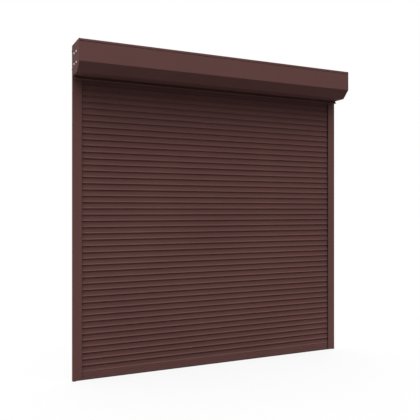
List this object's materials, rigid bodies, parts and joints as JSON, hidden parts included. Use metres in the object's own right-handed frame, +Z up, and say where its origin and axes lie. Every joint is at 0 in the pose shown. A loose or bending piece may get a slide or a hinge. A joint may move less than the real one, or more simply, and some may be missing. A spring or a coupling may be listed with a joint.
{
  "type": "exterior roller shutter",
  "caption": "Wall-mounted exterior roller shutter: a box with a motor-driven shaft, two side guide rails and a curtain of hooked metal slats that closes an opening.",
  "frame": {"origin": "middle of the width, in the plane of the curtain, on the sill under the closed bottom bar", "axes": "+X to the right seen from outside, +Y towards the wall, +Z up; the wall plane is Y = 0.011 m"},
  "size_m": [1.884, 0.18, 1.9614],
  "materials": {
    "brown_coating": "satin chocolate-brown powder coating on aluminium",
    "zinc_steel": "galvanised steel",
    "bright_steel": "bright zinc-plated or ground steel",
    "motor_coating": "grey enamel on steel tube",
    "black_plastic": "matt moulded polyamide",
    "black_rubber": "matt black rubber"
  },
  "bodies": {
    "frame": {"rear_cover": "brown_coating", "front_cover": "brown_coating", "left_end_cap": "brown_coating", "right_end_cap": "brown_coating", "cover_rivets": "brown_coating", "ear_rivets": "brown_coating", "motor_bracket": "zinc_steel", "idler_bracket": "zinc_steel", "bracket_bolts": "bright_steel", "motor_head": "black_plastic", "motor_tube": "motor_coating", "bearing_outer_ring": "bright_steel", "left_guide_rail": "brown_coating", "right_guide_rail": "brown_coating", "left_guide_seals": "black_rubber", "right_guide_seals": "black_rubber", "left_guide_inlet": "black_plastic", "right_guide_inlet": "black_plastic", "left_guide_foot": "black_plastic", "right_guide_foot": "black_plastic", "cable_grommet": "black_rubber"},
    "curtain_end": {"bottom_bar": "brown_coating", "bottom_seal": "black_rubber", "bar_end_plugs": "black_plastic", "slats_01": "brown_coating", "slat_clips_01": "black_plastic"},
    "shaft": {"shaft_tube": "zinc_steel", "output_shaft": "bright_steel", "drive_wheel": "black_plastic", "crown_ring": "black_plastic", "shaft_screws": "bright_steel", "idler_plug": "black_plastic", "idler_pin": "bright_steel", "bearing_inner_ring": "bright_steel", "hanger_straps": "zinc_steel", "strap_rivets": "bright_steel"},
    "ball_set": {"bearing_balls": "bright_steel"},
    "slat_group_02": {"slats_02": "brown_coating", "slat_clips_02": "black_plastic"},
    "slat_group_03": {"slats_03": "brown_coating", "slat_clips_03": "black_plastic"},
    "slat_group_04": {"slats_04": "brown_coating", "slat_clips_04": "black_plastic"},
    "slat_group_05": {"slats_05": "brown_coating", "slat_clips_05": "black_plastic"},
    "slat_group_06": {"slats_06": "brown_coating", "slat_clips_06": "black_plastic"},
    "slat_group_07": {"slats_07": "brown_coating", "slat_clips_07": "black_plastic"},
    "slat_group_08": {"slats_08": "brown_coating", "slat_clips_08": "black_plastic"},
    "slat_group_09": {"slats_09": "brown_coating", "slat_clips_09": "black_plastic"},
    "slat_group_10": {"slats_10": "brown_coating", "slat_clips_10": "black_plastic"},
    "slat_group_11": {"slats_11": "brown_coating", "slat_clips_11": "black_plastic"},
    "slat_group_12": {"slats_12": "brown_coating", "slat_clips_12": "black_plastic"}
  },
  "joints": [
    {"name": "curtain_lift", "type": "slide", "parent": "frame", "child": "curtain_end", "axis": [0, 0, 1], "range_m": [0, 1.72]},
    {"name": "slat_lift_02", "type": "slide", "parent": "frame", "child": "slat_group_02", "axis": [0, 0, 1], "range_m": [0, 1.5725], "deforming": ["slats_02", "slat_clips_02"]},
    {"name": "slat_lift_03", "type": "slide", "parent": "frame", "child": "slat_group_03", "axis": [0, 0, 1], "range_m": [0, 1.4245], "deforming": ["slats_03", "slat_clips_03"]},
    {"name": "slat_lift_04", "type": "slide", "parent": "frame", "child": "slat_group_04", "axis": [0, 0, 1], "range_m": [0, 1.2765], "deforming": ["slats_04", "slat_clips_04"]},
    {"name": "slat_lift_05", "type": "slide", "parent": "frame", "child": "slat_group_05", "axis": [0, 0, 1], "range_m": [0, 1.1285], "deforming": ["slats_05", "slat_clips_05"]},
    {"name": "slat_lift_06", "type": "slide", "parent": "frame", "child": "slat_group_06", "axis": [0, 0, 1], "range_m": [0, 0.9805], "deforming": ["slats_06", "slat_clips_06"]},
    {"name": "slat_lift_07", "type": "slide", "parent": "frame", "child": "slat_group_07", "axis": [0, 0, 1], "range_m": [0, 0.8325], "deforming": ["slats_07", "slat_clips_07"]},
    {"name": "slat_lift_08", "type": "slide", "parent": "frame", "child": "slat_group_08", "axis": [0, 0, 1], "range_m": [0, 0.6845], "deforming": ["slats_08", "slat_clips_08"]},
    {"name": "slat_lift_09", "type": "slide", "parent": "frame", "child": "slat_group_09", "axis": [0, 0, 1], "range_m": [0, 0.5365], "deforming": ["slats_09", "slat_clips_09"]},
    {"name": "slat_lift_10", "type": "slide", "parent": "frame", "child": "slat_group_10", "axis": [0, 0, 1], "range_m": [0, 0.3885], "deforming": ["slats_10", "slat_clips_10"]},
    {"name": "slat_lift_11", "type": "slide", "parent": "frame", "child": "slat_group_11", "axis": [0, 0, 1], "range_m": [0, 0.2405], "deforming": ["slats_11", "slat_clips_11"]},
    {"name": "slat_lift_12", "type": "slide", "parent": "frame", "child": "slat_group_12", "axis": [0, 0, 1], "range_m": [0, 0.0925], "deforming": ["slats_12", "slat_clips_12"]},
    {"name": "shaft_turn", "type": "hinge", "parent": "frame", "child": "shaft", "pos_m": [0, -0.079, 1.87], "axis": [1, 0, 0], "range_deg": [0, 1801], "deforming": ["hanger_straps"]},
    {"name": "ball_turn", "type": "hinge", "parent": "frame", "child": "ball_set", "pos_m": [0, -0.079, 1.87], "axis": [1, 0, 0], "range_deg": [0, 705]}
  ],
  "couplings": [
    {"joint": "slat_lift_02", "follows": "curtain_lift", "ratio": 0.91395},
    {"joint": "slat_lift_03", "follows": "curtain_lift", "ratio": 0.82791},
    {"joint": "slat_lift_04", "follows": "curtain_lift", "ratio": 0.74186},
    {"joint": "slat_lift_05", "follows": "curtain_lift", "ratio": 0.65581},
    {"joint": "slat_lift_06", "follows": "curtain_lift", "ratio": 0.56977},
    {"joint": "slat_lift_07", "follows": "curtain_lift", "ratio": 0.48372},
    {"joint": "slat_lift_08", "follows": "curtain_lift", "ratio": 0.39767},
    {"joint": "slat_lift_09", "follows": "curtain_lift", "ratio": 0.31163},
    {"joint": "slat_lift_10", "follows": "curtain_lift", "ratio": 0.22558},
    {"joint": "slat_lift_11", "follows": "curtain_lift", "ratio": 0.13953},
    {"joint": "slat_lift_12", "follows": "curtain_lift", "ratio": 0.053488},
    {"joint": "shaft_turn", "follows": "curtain_lift", "rad_per_m": 18.265},
    {"joint": "ball_turn", "follows": "curtain_lift", "rad_per_m": 7.1433}
  ]
}
